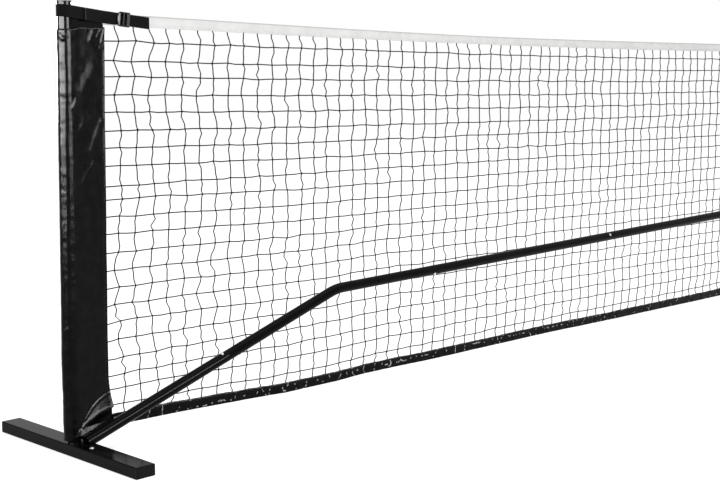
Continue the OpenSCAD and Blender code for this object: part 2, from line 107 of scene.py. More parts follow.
def evenWaves(tree, place, pitchMm):  # runs between -1 and 1 once in each pitch
    turns = addNode(tree, "ShaderNodeMath", {"operation": "MULTIPLY"}, {
        0: place, 1: 2 * math.pi / (pitchMm * mm)})
    return addNode(tree, "ShaderNodeMath", {"operation": "SINE"}, {0: turns.outputs[0]}).outputs[0]


def grainedFinish(name, s):  # clouds in the colour and the shine, and a grain in the surface
    material, tree, coords = startMaterial(name)
    cloud, grain = [addNode(tree, "ShaderNodeTexNoise", {}, {
        "Vector": coords, "Scale": 1000 / s[kind + "Mm"], "Detail": s[kind + "Detail"]})
        for kind in ("cloud", "grain")]
    bump = addNode(tree, "ShaderNodeBump", {}, {
        "Height": grain.outputs["Fac"], "Strength": s["grainStrength"], "Distance": s["grainHeight"] * mm})
    finishMaterial(tree, addNode(tree, "ShaderNodeBsdfPrincipled", {}, {
        "Base Color": colourSpread(tree, cloud.outputs["Fac"], s["dark"], s["light"]),
        "Roughness": valueSpread(tree, cloud.outputs["Fac"], s["roughLow"], s["roughHigh"]),
        "Normal": bump.outputs["Normal"], **s["surface"]}))
    return material


# Black powder coat on steel tube, sprayed and baked: a gloss coat with a soft orange peel
powderCoat = {"dark": "#060607", "light": "#0b0b0c", "roughLow": 0.13, "roughHigh": 0.2, "cloudMm": 60,
              "cloudDetail": 4, "grainMm": 3, "grainDetail": 2, "grainStrength": 0.35, "grainHeight": 0.04,
              "surface": {"IOR": 1.125}}
steel = grainedFinish("powderCoatedSteel", powderCoat)

# Zinc-plated steel, barrel plated: bright with fine grey clouding
zincPlate = {"dark": "#a9adb0", "light": "#d5d8da", "roughLow": 0.2, "roughHigh": 0.38, "cloudMm": 5,
             "cloudDetail": 5, "grainMm": 5, "grainDetail": 5, "grainStrength": 0.2, "grainHeight": 0.05,
             "surface": {"Metallic": 1.0}}
zinc = grainedFinish("zincPlatedSteel", zincPlate)

# Moulded polypropylene: spark-eroded grain that breaks the gloss. The grain is about 0.3 mm
# and is drawn at 1 mm, as it would be too fine to show.
polypropylene = {"dark": "#0a0a0b", "light": "#111112", "roughLow": 0.38, "roughHigh": 0.5,
                 "cloudMm": 50 / 3, "cloudDetail": 3, "grainMm": 1, "grainDetail": 2,
                 "grainStrength": 0.4, "grainHeight": 0.06, "surface": {"IOR": 1.18}}
plastic = grainedFinish("mouldedPolypropylene", polypropylene)

# Acetal, moulded: slick and a little waxy, with a shallow grain
acetal = {"dark": "#0d0d0e", "light": "#171718", "roughLow": 0.24, "roughHigh": 0.36, "cloudMm": 6.25,
          "cloudDetail": 4, "grainMm": 10 / 9, "grainDetail": 1, "grainStrength": 0.25, "grainHeight": 0.04,
          "surface": {"IOR": 1.24}}
buckleAcetal = grainedFinish("mouldedAcetal", acetal)

# Moulded rubber: dull, with dust in its skin
rubber = {"dark": "#171616", "light": "#262524", "roughLow": 0.62, "roughHigh": 0.8, "cloudMm": 25 / 3,
          "cloudDetail": 6, "grainMm": 25 / 3, "grainDetail": 6, "grainStrength": 0.3, "grainHeight": 0.1,
          "surface": {"IOR": 1.52}}
rubberSkin = grainedFinish("mouldedRubber", rubber)

# Woven polyester with a polyurethane coat: a satin face, the weave shows faintly through it.
# Its threads are 0.4 mm apart and are drawn at 1.6 mm.
# The pale colour in this table is a painted highlight: flecks of it stand in for glints on the binding tape.
coatedCloth = {"dark": "#070708", "light": "#0e0e0f", "paintedGlint": "#dcdce0", "roughLow": 0.1,
               "roughHigh": 0.18, "cloudMm": 200 / 9, "threadMm": 1.6, "weaveStrength": 0.4,
               "weaveHeight": 0.05, "crinkleMm": 22, "crinkleStrength": 0.35, "crinkleHeight": 1.2,
               "glintMm": 40, "glintFrom": 1.44, "glintTo": 1.66}


def coatedPolyester(name="coatedPolyester", crinkle=1.0, glintShare=0.0, ior=1.13):
    s = coatedCloth
    material, tree, coords = startMaterial(name)
    split = addNode(tree, "ShaderNodeSeparateXYZ", {}, {"Vector": coords})
    weave = addNode(tree, "ShaderNodeMath", {"operation": "MULTIPLY"}, {
        number: evenWaves(tree, split.outputs[axis], s["threadMm"]) for number, axis in enumerate("XZ")})
    crinkles = addNode(tree, "ShaderNodeTexNoise", {"noise_type": "RIDGED_MULTIFRACTAL"}, {
        "Vector": coords, "Scale": 1000 / s["crinkleMm"], "Detail": 4, "Roughness": 0.45})
    cloud = addNode(tree, "ShaderNodeTexNoise", {}, {
        "Vector": coords, "Scale": 1000 / s["cloudMm"], "Detail": 5})
    coarse = addNode(tree, "ShaderNodeBump", {}, {
        "Height": crinkles.outputs["Fac"], "Strength": s["crinkleStrength"] * crinkle,
        "Distance": s["crinkleHeight"] * mm})
    fine = addNode(tree, "ShaderNodeBump", {}, {
        "Height": weave.outputs[0], "Strength": s["weaveStrength"], "Distance": s["weaveHeight"] * mm,
        "Normal": coarse.outputs["Normal"]})
    colour = colourSpread(tree, cloud.outputs["Fac"], s["dark"], s["light"])
    if glintShare:  # painted glints: sparse pale flecks stand in for highlights on the crinkles
        ridges = addNode(tree, "ShaderNodeTexNoise", {"noise_type": "RIDGED_MULTIFRACTAL"}, {
            "Vector": coords, "Scale": 1000 / s["glintMm"], "Detail": 2, "Roughness": 0.5, "Offset": 1})
        glintMask = addNode(tree, "ShaderNodeMapRange", {}, {
            "Value": ridges.outputs["Fac"], "From Min": s["glintFrom"], "From Max": s["glintTo"],
            "To Max": glintShare})
        colour = mixedColour(tree, glintMask.outputs["Result"], colour, s["paintedGlint"])
    finishMaterial(tree, addNode(tree, "ShaderNodeBsdfPrincipled", {}, {
        "Base Color": colour, "Normal": fine.outputs["Normal"], "IOR": ior,
        "Roughness": valueSpread(tree, cloud.outputs["Fac"], s["roughLow"], s["roughHigh"])}))
    return material


sleeveCloth = coatedPolyester()
liningCloth = coatedPolyester("coatedPolyesterBack", ior=1.2)
# The binding gets painted glints: pale flecks that stand in for highlights.
bindingCloth = coatedPolyester("coatedPolyesterBinding", crinkle=3.2, glintShare=0.8)

# Nylon webbing, woven: soft sheen on dull ribs. The ribs are 1.5 mm apart, drawn at 3 mm.
webbingLook = {"dark": "#080809", "light": "#181819", "rough": 0.8, "sheen": 0.05, "sheenRough": 0.4,
               "ribMm": 3, "ribStrength": 0.6, "ribHeight": 0.4, "fuzzMm": 10 / 7}


def wovenWebbing():
    s = webbingLook
    material, tree, coords = startMaterial("wovenNylonWebbing")
    split = addNode(tree, "ShaderNodeSeparateXYZ", {}, {"Vector": coords})
    ribs = addNode(tree, "ShaderNodeMath", {"operation": "MULTIPLY_ADD"}, {
        0: evenWaves(tree, split.outputs["X"], s["ribMm"]), 1: 0.5, 2: 0.5})
    fuzz = addNode(tree, "ShaderNodeTexNoise", {}, {
        "Vector": coords, "Scale": 1000 / s["fuzzMm"], "Detail": 3})
    blend = addNode(tree, "ShaderNodeMath", {"operation": "MULTIPLY"}, {
        0: ribs.outputs[0], 1: fuzz.outputs["Fac"]})
    bump = addNode(tree, "ShaderNodeBump", {}, {
        "Height": blend.outputs[0], "Strength": s["ribStrength"], "Distance": s["ribHeight"] * mm})
    finishMaterial(tree, addNode(tree, "ShaderNodeBsdfPrincipled", {}, {
        "Base Color": colourSpread(tree, blend.outputs[0], s["dark"], s["light"], 0.1, 0.6),
        "Roughness": s["rough"], "IOR": 1.2, "Sheen Weight": s["sheen"], "Sheen Roughness": s["sheenRough"],
        "Normal": bump.outputs["Normal"]}))
    return material


webbing = wovenWebbing()

# Twisted polyethylene twine, knotted by machine: waxy black with the lay of its two strands.
# A turn of the lay is 5 mm.
twineLook = {"dark": "#0a0a0b", "light": "#1c1c1e", "rough": 0.7, "layMm": 5, "layStrength": 0.5,
             "layHeight": 0.3}


def knottedTwine():
    s = twineLook
    material, tree, coords = startMaterial("knottedTwine")
    split = addNode(tree, "ShaderNodeSeparateXYZ", {}, {"Vector": coords})
    slant = addNode(tree, "ShaderNodeMath", {"operation": "ADD"}, {
        0: split.outputs["X"], 1: split.outputs["Z"]})
    lay = addNode(tree, "ShaderNodeMath", {"operation": "MULTIPLY_ADD"}, {
        0: evenWaves(tree, slant.outputs[0], s["layMm"]), 1: 0.5, 2: 0.5})
    bump = addNode(tree, "ShaderNodeBump", {}, {
        "Height": lay.outputs[0], "Strength": s["layStrength"], "Distance": s["layHeight"] * mm})
    finishMaterial(tree, addNode(tree, "ShaderNodeBsdfPrincipled", {}, {
        "Base Color": colourSpread(tree, lay.outputs[0], s["dark"], s["light"], 0.1, 0.9),
        "Roughness": s["rough"], "IOR": 1.25, "Normal": bump.outputs["Normal"]}))
    return material


twine = knottedTwine()

# White vinyl-coated tape, folded and sewn: satin, with a faint weave and soft cockling, and a painted shade
# along its fold
vinylLook = {"dark": "#ebebea", "light": "#f8f8f7", "paintedFoldShade": "#a4a4a2", "rough": 0.6, "cockleMm": 35,
             "cockleHeight": 2, "threadMm": 1.4, "threadHeight": 0.05, "strength": 0.3}


def whiteVinylTape():
    s = vinylLook
    material, tree, coords = startMaterial("whiteVinylTape")
    split = addNode(tree, "ShaderNodeSeparateXYZ", {}, {"Vector": coords})
    cloud = addNode(tree, "ShaderNodeTexNoise", {}, {
        "Vector": coords, "Scale": 1000 / s["cockleMm"], "Detail": 5})
    coarse = addNode(tree, "ShaderNodeBump", {}, {
        "Height": cloud.outputs["Fac"], "Strength": s["strength"], "Distance": s["cockleHeight"] * mm})
    fine = addNode(tree, "ShaderNodeBump", {}, {
        "Height": evenWaves(tree, split.outputs["X"], s["threadMm"]), "Strength": s["strength"],
        "Distance": s["threadHeight"] * mm, "Normal": coarse.outputs["Normal"]})
    fold = addNode(tree, "ShaderNodeAttribute", {"attribute_name": "foldShadeMask"}, {})  # painted shade: the tape is darkened along its fold line
    unshadedTone = colourSpread(tree, cloud.outputs["Fac"], s["dark"], s["light"], 0.3, 0.6)
    finishMaterial(tree, addNode(tree, "ShaderNodeBsdfPrincipled", {}, {
        "Base Color": mixedColour(tree, fold.outputs["Fac"], unshadedTone, s["paintedFoldShade"]),
        "Roughness": s["rough"], "IOR": 1.35, "Normal": fine.outputs["Normal"]}))
    return material


vinyl = whiteVinylTape()

# Bonded polyester thread, twisted: a soft shine on each stitch
threadLook = {"twistMm": 10 / 9, "rough": 0.5}


def twistedThread(name, dark, light):
    s = threadLook
    material, tree, coords = startMaterial(name)
    twist = addNode(tree, "ShaderNodeTexNoise", {}, {
        "Vector": coords, "Scale": 1000 / s["twistMm"], "Detail": 2})
    finishMaterial(tree, addNode(tree, "ShaderNodeBsdfPrincipled", {}, {
        "Base Color": colourSpread(tree, twist.outputs["Fac"], dark, light),
        "Roughness": s["rough"], "IOR": 1.55}))
    return material


whiteThread = twistedThread("whiteThread", "#d8d8d6", "#efefed")
blackThread = twistedThread("blackThread", "#1c1c1e", "#343436")
tackThread = twistedThread("greyThread", "#4c4c4e", "#6a6a6c")
print("materials made")

# The solids, by what each is; the rest are powder-coated tube
solidFinish = {"leg_tip": rubberSkin, **dict.fromkeys(("upright_cap", "foot_caps", "hub"), plastic),
               **dict.fromkeys(("button", "spring", "connectors", "backing_plate", "foot_bolts", "hub_screws",
                                "corner_eyelets"), zinc)}
for name, node in frame["nodes"].items():
    kind = name.removeprefix("left_").removeprefix("right_")
    kind = kind[:-2] if kind[-2] == "_" else kind
    for place in node.material_slots:
        place.material = solidFinish.get(kind, steel)


def makePiece(name, points, faces, material):  # points in millimetres
    mesh = bpy.data.meshes.new(name)
    mesh.from_pydata((np.asarray(points, float) * mm).tolist(), [], [list(face) for face in faces])
    mesh.materials.append(material)
    mesh.polygons.foreach_set("use_smooth", [True] * len(mesh.polygons))
    mesh.update()
    piece = bpy.data.objects.new(name, mesh)
    bpy.context.collection.objects.link(piece)
    return piece


def mirrorPiece(piece, name):  # the right-hand copy of a left-hand piece
    mesh = piece.data.copy()
    mesh.name = name
    for vertex in mesh.vertices:
        vertex.co.x = -vertex.co.x
    mesh.flip_normals()
    copy = bpy.data.objects.new(name, mesh)
    bpy.context.collection.objects.link(copy)
    return copy


def gridFaces(rows, columns, start=0, flip=False):
    index = start + np.arange(rows * columns).reshape(rows, columns)
    quads = np.stack([index[:-1, :-1], index[:-1, 1:], index[1:, 1:], index[1:, :-1]], -1).reshape(-1, 4)
    return quads[:, ::-1] if flip else quads


def gridNormals(grid):
    across = np.gradient(grid, axis=1)
    along = np.gradient(grid, axis=0)
    normals = np.cross(across, along)
    return normals / np.maximum(np.linalg.norm(normals, axis=-1, keepdims=True), 1e-9)


def clothPiece(name, grid, thickness, material):  # a grid of points, given a thickness and a rim
    rows, columns = grid.shape[:2]
    offset = gridNormals(grid) * (np.asarray(thickness) / 2)[..., None]
    points = np.concatenate([(grid + offset).reshape(-1, 3), (grid - offset).reshape(-1, 3)])
    count = rows * columns
    index = np.arange(count).reshape(rows, columns)
    rim = np.concatenate([index[0, :], index[1:, -1], index[-1, -2::-1], index[-2:0:-1, 0]])
    following = np.roll(rim, -1)
    border = np.stack([following, rim, rim + count, following + count], -1)
    faces = np.concatenate([gridFaces(rows, columns), gridFaces(rows, columns, count, True), border])
    return makePiece(name, points, faces.tolist(), material)


def smoothNoise(points, size, seed):  # about -1 to 1, for an array of points in millimetres
    flat = points.reshape(-1, 3) / size + seed * 17.3
    return np.array([noise.noise(Vector(p)) for p in flat.tolist()]).reshape(points.shape[:-1])


def along(points, step):  # evenly spaced points on a line through the given ones
    points = np.asarray(points, float)
    lengths = np.concatenate([[0], np.cumsum(np.linalg.norm(np.diff(points, axis=0), axis=1))])
    wanted = np.linspace(0, lengths[-1], max(2, int(round(lengths[-1] / step)) + 1))
    return np.stack([np.interp(wanted, lengths, points[:, i]) for i in range(points.shape[1])], -1)


thread = {"half": 0.35, "proud": 0.15}  # half the thread's width, and how far it stands off the cloth


def stitches(name, starts, ends, material):  # one small lozenge for each stitch
    middle = (starts + ends) / 2
    direction = (ends - starts) / np.linalg.norm(ends - starts, axis=1, keepdims=True)
    outward = np.zeros_like(middle) + [0, 1, 0]
    side = np.cross(direction, outward) * thread["half"]
    outward *= thread["half"]
    points = np.stack([starts, middle + side, middle - outward, middle - side, middle + outward, ends], 1)
    faces = np.array([[0, 1, 2], [0, 2, 3], [0, 3, 4], [0, 4, 1], [5, 2, 1], [5, 3, 2], [5, 4, 3], [5, 1, 4]])
    allFaces = (faces[None] + 6 * np.arange(len(points))[:, None, None]).reshape(-1, 3)
    return makePiece(name, points.reshape(-1, 3), allFaces.tolist(), material)


# The net's edges: heights, and lengths from the sleeve
netLine = {"centreHeight": 863.6, "sidelineHeight": 914.4, "sidelineX": 3048, "topTape": 24,
           "bottomTape": 24.3, "bottomCentre": 17, "bottomRise": 12, "cornerLift": 12, "cornerReach": 600,
           "sleeveReach": 95,
           # how far the bottom edge sits off its even curve at reaches
           "wave": [(95, -1.5), (260, -2.3), (400, -3.2), (780, -3.2), (880, 0), (1000, 0), (1130, -2.2),
                    (1340, -1.3), (1650, 0), (1900, -2.5), (2500, -5), (3377, -5)]}


def topEdge(x):
    n = netLine
    return n["centreHeight"] + (n["sidelineHeight"] - n["centreHeight"]) * (x / n["sidelineX"]) ** 2


def bottomEdge(x):
    n = netLine
    reach = halfSpan - np.abs(x)
    lift = np.clip(1 - ((reach - n["sleeveReach"]) / (n["cornerReach"] - n["sleeveReach"])) ** 2, 0, 1)
    lift = n["cornerLift"] * np.where(reach < n["cornerReach"], lift, 0)
    even = n["bottomCentre"] + n["bottomRise"] * np.sin(np.pi / 2 * np.abs(x) / halfSpan) ** 2 + lift
    return even + np.interp(reach, *zip(*n["wave"]))


netting = {"columns": 147, "rows": 22, "firstReach": 123, "pitch": 44.25, "twine": 2.85, "sides": 5,
           "firstGap": 25, "firstGapMore": 11, "moreReach": 700, "lastGap": 21, "seed": 4,
           # sideways drift of each row of knots next to the sleeve, from the top down, and where it fades
           "drift": [13, -3, 9, -1, 1, 12, 9, 9, 11, 14, 7, 3, 1, -12, 2, -14, 1, -5, 8, 6, 12, 10],
           "driftReach": 420,
           # how much each row sits above or below its even place there
           "lift": [2, -1, 1.5, 1, 0.5, 0, -1, -1, -9, 1.5, 2, 4, -1, -3, -2, -2, -1, -5.5, -9, -8, -4, 1],
           # spread of the knots along the net, up it and out of it, and of whole rows up it
           "spreadX": 2, "spreadZ": 1, "spreadY": 0.25, "rowSpread": 1.3,
           # swing of the rows away from the sleeves, and its turn from row to row
           "swing": 3, "swingTurn": 1.7,
           # upright strings: where each bends on its way to the next knot, how far, and how far it goes
           # into a tape and is moved there
           "bends": (0, 0.3, 0.7), "slack": 1.71, "bendOut": 0.15, "inTape": 3, "headSpread": 3,
           "tailSpread": 1.5,
           # level strings: how far they go into a sleeve and drop there, around which row, and their sag
           "inSleeve": 4, "endDrop": 3.5, "endDropRow": 16, "endDropRows": 2.5, "levelSag": 0.3,
           "levelSpread": 0.5,
           # a knot's size and how it is longer, thinner and taller than a ball
           "knot": 2.2, "knotSpread": 0.12, "knotShape": [1.1, 0.8, 1.25]}


def buildNetting():
    n = netting
    random = np.random.default_rng(n["seed"])
    columns, rows = n["columns"], n["rows"]
    reach = n["firstReach"] + n["pitch"] * np.arange(columns)
    fromEnd = np.minimum(reach, 2 * halfSpan - reach)
    x = reach - halfSpan
    fade = np.exp(-(fromEnd - n["firstReach"]) / n["driftReach"]) * np.sign(-x)
    more = n["firstGapMore"] * np.exp(-fromEnd / n["moreReach"])
    top = topEdge(x) - netLine["topTape"] - n["firstGap"] - more
    low = bottomEdge(x) + netLine["bottomTape"] + n["lastGap"]
    share = np.linspace(0, 1, rows)[:, None]
    knotX = x + np.array(n["drift"])[:, None] * fade + random.normal(0, n["spreadX"], (rows, columns))
    swing = np.sin(np.arange(rows)[:, None] * n["swingTurn"] + random.normal(0, 1, (rows, 1)))
    knotX += n["swing"] * swing * (1 - np.abs(fade))
    knotZ = top * (1 - share) + low * share + random.normal(0, n["spreadZ"], (rows, columns)) \
        + random.normal(0, n["rowSpread"], (rows, 1)) + np.array(n["lift"])[:, None] * np.abs(fade)
    knotY = random.normal(0, n["spreadY"], (rows, columns))
    knots = np.stack([knotX, knotY, knotZ], -1)

    # Upright strings: from inside the top tape through every knot into the bottom tape
    headX = x + random.normal(0, n["headSpread"], columns)
    head = np.stack([headX, 0 * x, topEdge(x) - netLine["topTape"] + n["inTape"]], -1)[None]
    tailX = knotX[-1] + random.normal(0, n["tailSpread"], columns)
    tail = np.stack([tailX, 0 * x, bottomEdge(x) + netLine["bottomTape"] - n["inTape"]], -1)[None]
    posts = np.concatenate([head, knots, tail])
    rings = []
    for k in range(len(posts) - 1):
        sway = random.normal(0, n["slack"], columns)
        bend = random.normal(0, n["slack"], columns)
        for t in n["bends"]:
            point = posts[k] * (1 - t) + posts[k + 1] * t
            if t:
                aside = sway * (1 if t < 0.5 else -1) + bend
                point = point + np.stack([aside, n["bendOut"] * bend, 0 * sway], -1)
            rings.append(point)
    rings.append(posts[-1])
    uprights = np.stack(rings, 1)  # column, ring, xyz

    # Level strings: from sleeve to sleeve
    gap = netLine["sleeveReach"] - n["inSleeve"]
    ends = []
    for side, column in ((-1, 0), (1, -1)):
        drop = n["endDrop"] * np.exp(-((np.arange(rows) - n["endDropRow"]) / n["endDropRows"]) ** 2)
        ends.append(np.stack([np.full(rows, side * (halfSpan - gap)), 0 * drop, knotZ[:, column] - drop], -1))
    levels = np.concatenate([ends[0][:, None], knots, ends[1][:, None]], 1)
    between = (levels[:, 1:] + levels[:, :-1]) / 2
    between[..., 2] += random.normal(-n["levelSag"], n["levelSpread"], between.shape[:2])
    threaded = np.empty((rows, levels.shape[1] * 2 - 1, 3))
    threaded[:, 0::2], threaded[:, 1::2] = levels, between

    points, faces, count, sides = [], [], 0, n["sides"]
    for lines, first, second in ((uprights, 0, 1), (threaded, 1, 2)):
        angle = 2 * np.pi * np.arange(sides) / sides
        ring = np.zeros((sides, 3))
        ring[:, first], ring[:, second] = np.cos(angle), np.sin(angle)
        tube = lines[:, :, None, :] + ring * n["twine"] / 2
        lineCount, ringCount = lines.shape[:2]
        index = count + np.arange(lineCount * ringCount * sides).reshape(lineCount, ringCount, sides)
        beside = np.roll(index, -1, axis=2)
        quads = np.stack([index[:, :-1], beside[:, :-1], beside[:, 1:], index[:, 1:]], -1)
        faces.append(quads.reshape(-1, 4))
        points.append(tube.reshape(-1, 3))
        count += tube.size // 3

    # Knots: a lump of two crossing turns
    golden = (1 + 5 ** 0.5) / 2
    lump = np.array([[-1, golden, 0], [1, golden, 0], [-1, -golden, 0], [1, -golden, 0], [0, -1, golden],
                     [0, 1, golden], [0, -1, -golden], [0, 1, -golden], [golden, 0, -1], [golden, 0, 1],
                     [-golden, 0, -1], [-golden, 0, 1]]) / math.hypot(1, golden)
    lumpFaces = np.array([[0, 11, 5], [0, 5, 1], [0, 1, 7], [0, 7, 10], [0, 10, 11], [1, 5, 9], [5, 11, 4],
                          [11, 10, 2], [10, 7, 6], [7, 1, 8], [3, 9, 4], [3, 4, 2], [3, 2, 6], [3, 6, 8],
                          [3, 8, 9], [4, 9, 5], [2, 4, 11], [6, 2, 10], [8, 6, 7], [9, 8, 1]])
    size = n["knot"] * (1 + random.normal(0, n["knotSpread"], (rows * columns, 1, 1)))
    lumps = knots.reshape(-1, 1, 3) + lump * size * np.array(n["knotShape"])
    knotFaces = (lumpFaces[None] + 12 * np.arange(rows * columns)[:, None, None] + count).reshape(-1, 3)
    points.append(lumps.reshape(-1, 3))
    allFaces = [f for group in faces for f in group.tolist()] + knotFaces.tolist()
    return makePiece("netting", np.concatenate(points), allFaces, twine)


nettingPiece = buildNetting()
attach(nettingPiece, "net")
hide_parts("net_mesh")
print("netting made")


# The folds go over the net's edges: heights, half the gap between the two sides, cockling, and
# the hem's place up from the open edge
topTape = {"height": 24, "half": 1.1, "cloth": 0.7, "step": 8, "cockle": 0.45, "hem": 4, "seed": 2,
           "stitch": 3.4, "stitchGap": 1.0, "fold": 2.2, "dip": 2.8, "dipReach": 1300, "dipWidth": 650}
bottomTape = {"height": 24.3, "half": 1.1, "cloth": 0.7, "step": 7, "cockle": 1.5, "hem": 3.5, "seed": 9,
              "stitch": 3.4, "stitchGap": 1.0, "endMore": 2, "endReach": 200}
tapeForm = {"rows": 9, "foldFrom": 0.93, "nip": 0.35, "nipWidth": 1.2, "edgeShare": 0.9,
            # unevenness: share, size, and how it is stretched up the tape
            "sway": [(1, 55, 0.35), (0.6, 17, 0.6)], "wander": [(1, 40, 0), (0.7, 13, 0)], "wanderSeed": 3}
tapeEnds = halfSpan - netLine["sleeveReach"] + 2


def layeredNoise(grid, layers, seed):
    return sum(share * smoothNoise(grid * [1, 0, up], size, seed + number)
               for number, (share, size, up) in enumerate(layers))


def foldedTape(name, s, upper, lower, foldUp, material):  # cloth folded over an edge of the net
    form = tapeForm
    x = np.linspace(-tapeEnds, tapeEnds, int(2 * halfSpan / s["step"]))
    rise = np.linspace(0, form["foldFrom"], form["rows"])  # up one side, over the fold and down the other
    share = np.concatenate([rise, [0.965, 0.99, 1.0, 0.99, 0.965], rise[::-1]])
    y = np.concatenate([0 * rise - 1, [-0.92, -0.6, 0, 0.6, 0.92], 0 * rise + 1]) * s["half"]
    nip = form["nip"] * np.exp(-((share * s["height"] - s["hem"]) / form["nipWidth"]) ** 2)
    y = y - np.sign(y) * nip  # drawn in by the stitches
    top, low = upper(x)[:, None], lower(x)[:, None]
    z = low + (top - low) * share if foldUp else top - (top - low) * share
    grid = np.stack([np.repeat(x[:, None], len(share), 1), np.repeat(y[None], len(x), 0), z], -1)
    grid[..., 1] += s["cockle"] * layeredNoise(grid, form["sway"], s["seed"])
    wander = layeredNoise(grid, form["wander"], s["seed"] + form["wanderSeed"])
    grid[..., 2] += s["cockle"] * form["edgeShare"] * wander * (1 - share)
    if foldUp:
        grid = grid[:, ::-1]
    return clothPiece(name, grid, np.full(grid.shape[:2], s["cloth"]), material), grid


def tapeTop(x):  # the fold sags a little between the strap and the middle
    away = (halfSpan - np.abs(x) - topTape["dipReach"]) / topTape["dipWidth"]
    return topEdge(x) - topTape["dip"] * np.exp(-away ** 2)


def bottomTapeTop(x):  # the tape is a little higher next to the sleeve
    away = halfSpan - netLine["sleeveReach"] - np.abs(x)
    more = bottomTape["endMore"] * np.exp(-away / bottomTape["endReach"])
    return bottomEdge(x) + bottomTape["height"] + more


topTapePiece, topGrid = foldedTape(
    "topTape", topTape, tapeTop, lambda x: topEdge(x) - topTape["height"], True, vinyl)
bottomTapePiece, bottomGrid = foldedTape(
    "bottomTape", bottomTape, bottomTapeTop, bottomEdge, False, bindingCloth)
points = np.array([vertex.co for vertex in topTapePiece.data.vertices]) / mm
# Mask for the painted shade along the tape's top fold: full at the fold, fading out over topTape["fold"]
# below it
foldShadeMask = topTapePiece.data.attributes.new("foldShadeMask", "FLOAT", "POINT")
depth = tapeTop(points[:, 0]) - points[:, 2]  # below the fold
foldShadeMask.data.foreach_set("value", np.clip(1 - depth / topTape["fold"], 0, 1))
for piece, node, finish in ((topTapePiece, "top_tape", "white_tape"),
                            (bottomTapePiece, "bottom_tape", "black_coated_fabric")):
    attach(piece, "net")
    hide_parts(node)


def stitchEnds(s, line, run, outward, places):  # both ends of each stitch on a line that runs along one axis
    side = outward * (s["cloth"] / 2 + thread["proud"])
    ends = []
    for place in (places, places + s["stitch"]):
        point = [np.interp(place, line[:, run], line[:, axis]) for axis in range(3)]
        point[run] = place
        point[1] = point[1] + side
        ends.append(np.stack(point, -1))
    return ends


def tapeStitches(name, s, grid, material):  # a row of stitches on both faces
    rows = []
    for column in (2, grid.shape[1] - 3):
        line = grid[:, column]
        places = np.arange(line[0, 0] + 4, line[-1, 0] - 4, s["stitch"] + s["stitchGap"])
        rows.append(stitchEnds(s, line, 0, np.sign(line[:, 1].mean()), places))
    starts, ends = zip(*rows)
    return stitches(name, np.concatenate(starts), np.concatenate(ends), material)


topStitches = tapeStitches("topTapeStitches", topTape, topGrid, whiteThread)
bottomStitches = tapeStitches("bottomTapeStitches", bottomTape, bottomGrid, blackThread)
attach(topStitches, "net")
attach(bottomStitches, "net")
print("tapes made")


sleeve = {"bore": 14.9, "cloth": 0.9, "seam": 90, "half": 1.05, "end": 95, "pullFrom": 27, "top": 889,
          "hemTop": 893, "hemFrom": 10, "hemReach": 20, "bottom": 30, "bottomRise": 5, "riseReach": 60,
          "step": 1.8, "rise": 3.4, "cornerRise": 1.4, "cornerTop": 0.115, "seed": 5,
          "stitch": 3.5, "stitchGap": 1.1, "seamColumns": (3, 5), "seamEnd": 5, "gap": 0.3, "smoothing": 4,
          # height and size of three kinds of unevenness, and how its pattern is stretched along and up
          "unevenness": [(0.9, 30, 1, 0.3, 1.5), (0.8, 17, 1, 0.8, 2), (0.65, 9, 0.7, 1, 1)],
          "calm": 0.8, "slackMore": 0.5, "slackTop": 240, "slackHeight": 180, "flatness": 0.82,
          "backShare": 0.6, "sway": 1.1, "swaySize": 75, "noseReach": 12,
          # how far the cloth hangs off the upright at heights
          "loose": [(44, 5.5), (130, 6.3), (195, 7.3), (303, 5.8), (410, 4.9), (518, 3.1), (626, 2.3),
                    (734, 0.8), (800, 0)],
          # reach of the edge at heights
          "edge": [(30, 84), (35, 85), (50, 92), (65, 97), (88, 97), (121, 92.5), (150, 89.5), (230, 89.5),
                   (420, 91), (700, 94), (900, 97)],
          # creases: reach and height of both ends, width, height
          "creases": [(88, 862, 96, 890, 2.6, 1.2), (76, 874, 90, 889, 3, 0.9), (84, 850, 93, 853, 2.6, 0.8),
                      (58, 868, 66, 884, 6, 0.9), (4, 728, 14, 744, 3.0, 1.6), (34, 764, 66, 806, 16, 1.2),
                      (30, 690, 60, 705, 8, 0.8), (55, 640, 85, 700, 8, 0.7), (20, 560, 60, 610, 9, 0.7),
                      (-15, 877, -11, 868, 2.2, 1.0), (-4, 878, -11, 868, 2.2, 1.0)],
          # pleats over the tied corner: the line where each starts, the line of its lower edge, its
          # slope, and how far both lines stand up
          "pleats": [([(11, 57), (18, 69), (26, 78), (41, 93), (58, 104), (78, 112), (96, 115)],
                      [(11, 55), (16, 60), (24, 65), (41, 72), (57, 79), (77, 83), (97, 84)], 0.18, 1.15),
                     ([(-6, 41), (5, 54), (13, 56), (32, 54), (53, 55), (72, 56), (84, 58)],
                      [(-6, 38), (9, 41), (25, 42.5), (46, 42.5), (63, 43.5), (75, 45.5), (84, 50)],
                      0.46, 0)],
          "pleatFall": 5, "pleatStart": 4, "ridge": 2.5,
          "softFold": ([(4, 70), (6, 81), (27, 111), (53, 124)], 7, 0.6)}


def planPath(bore, seam, half, end):  # from the front edge round the upright to the back edge
    touch = math.acos(bore / math.hypot(seam, half))
    first = math.degrees(touch) + math.degrees(math.atan2(half, seam))
    turns = np.radians(np.linspace(-first, -(360 - first), 49))
    bend = [(bore * math.cos(a), bore * math.sin(a)) for a in turns]
    return np.array([(end, -half), (seam, -half)] + bend + [(seam, half), (end, half)])


def crease(reach, height, fold):
    ax, az, bx, bz, width, tall = fold
    length = math.hypot(bx - ax, bz - az)
    t = np.clip(((reach - ax) * (bx - ax) + (height - az) * (bz - az)) / length ** 2, 0, 1)
    apart = np.hypot(reach - ax - t * (bx - ax), height - az - t * (bz - az))
    return tall * np.exp(-(apart / width) ** 2)


